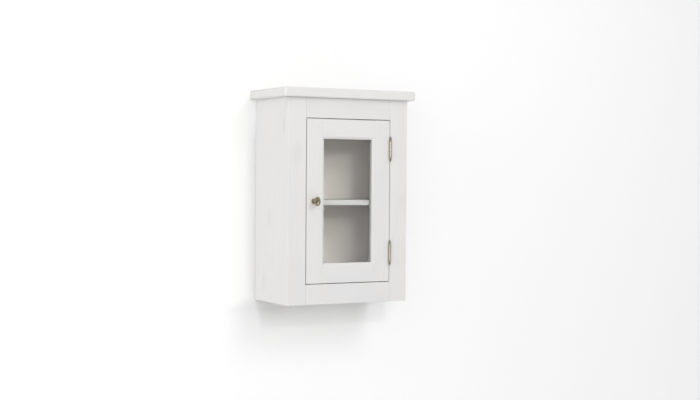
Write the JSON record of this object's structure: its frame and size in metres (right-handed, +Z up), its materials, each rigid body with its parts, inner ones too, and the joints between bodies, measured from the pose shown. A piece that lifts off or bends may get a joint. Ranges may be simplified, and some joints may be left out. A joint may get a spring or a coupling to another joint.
{
  "type": "wall cabinet",
  "caption": "Wall-hung bathroom cabinet in white-washed pine with an overhanging top board, one hinged glazed door with a knob, and a shelf inside.",
  "frame": {"origin": "middle of the hanging rail's rear face, on the wall plane", "axes": "+X to the right as seen from the front, +Y into the wall, +Z up"},
  "size_m": [0.45, 0.258, 0.65],
  "materials": {
    "washed_pine": "white-washed pine, satin, grain showing faintly",
    "washed_ply": "white-washed plywood, satin",
    "clear_glass": "clear, polished",
    "aged_brass": "aged, pale, satin, darker in the recesses",
    "dark_brass": "antique, brown, satin",
    "zinc_steel": "zinc plated",
    "catch_plastic": "moulded, matt",
    "magnet": "dark grey, matt"
  },
  "bodies": {
    "case": {"back_panel": "washed_ply", "bottom_panel": "washed_pine", "catch_case": "catch_plastic", "catch_magnet": "magnet", "catch_screw_1": "zinc_steel", "catch_screw_2": "zinc_steel", "face_bottom_rail": "washed_pine", "face_left_stile": "washed_pine", "face_right_stile": "washed_pine", "face_top_rail": "washed_pine", "hanging_rail": "washed_pine", "left_hanger_plate": "zinc_steel", "left_hanger_screw_1": "zinc_steel", "left_hanger_screw_2": "zinc_steel", "left_side_panel": "washed_pine", "lower_back_rail": "washed_pine", "lower_hinge_finial_bottom": "aged_brass", "lower_hinge_finial_top": "aged_brass", "lower_hinge_frame_leaf": "aged_brass", "lower_hinge_frame_screw_1": "aged_brass", "lower_hinge_frame_screw_2": "aged_brass", "lower_hinge_pin": "aged_brass", "right_hanger_plate": "zinc_steel", "right_hanger_screw_1": "zinc_steel", "right_hanger_screw_2": "zinc_steel", "right_side_panel": "washed_pine", "shelf": "washed_pine", "shelf_pin_back_left": "zinc_steel", "shelf_pin_back_right": "zinc_steel", "shelf_pin_front_left": "zinc_steel", "shelf_pin_front_right": "zinc_steel", "top_board": "washed_pine", "upper_hinge_finial_bottom": "aged_brass", "upper_hinge_finial_top": "aged_brass", "upper_hinge_frame_leaf": "aged_brass", "upper_hinge_frame_screw_1": "aged_brass", "upper_hinge_frame_screw_2": "aged_brass", "upper_hinge_pin": "aged_brass"},
    "door": {"door_bottom_rail": "washed_pine", "door_glass": "clear_glass", "door_left_stile": "washed_pine", "door_right_stile": "washed_pine", "door_top_rail": "washed_pine", "glazing_bead_bottom": "washed_pine", "glazing_bead_left": "washed_pine", "glazing_bead_right": "washed_pine", "glazing_bead_top": "washed_pine", "knob": "dark_brass", "knob_rosette": "dark_brass", "knob_screw": "zinc_steel", "lower_hinge_door_leaf": "aged_brass", "lower_hinge_door_screw_1": "aged_brass", "lower_hinge_door_screw_2": "aged_brass", "strike_plate": "zinc_steel", "strike_screw": "zinc_steel", "upper_hinge_door_leaf": "aged_brass", "upper_hinge_door_screw_1": "aged_brass", "upper_hinge_door_screw_2": "aged_brass"}
  },
  "joints": [
    {"name": "door_hinge", "type": "hinge", "parent": "case", "child": "door", "pos_m": [0.144, -0.23425, -0.281], "axis": [0, 0, 1], "range_deg": [0, 180]}
  ]
}
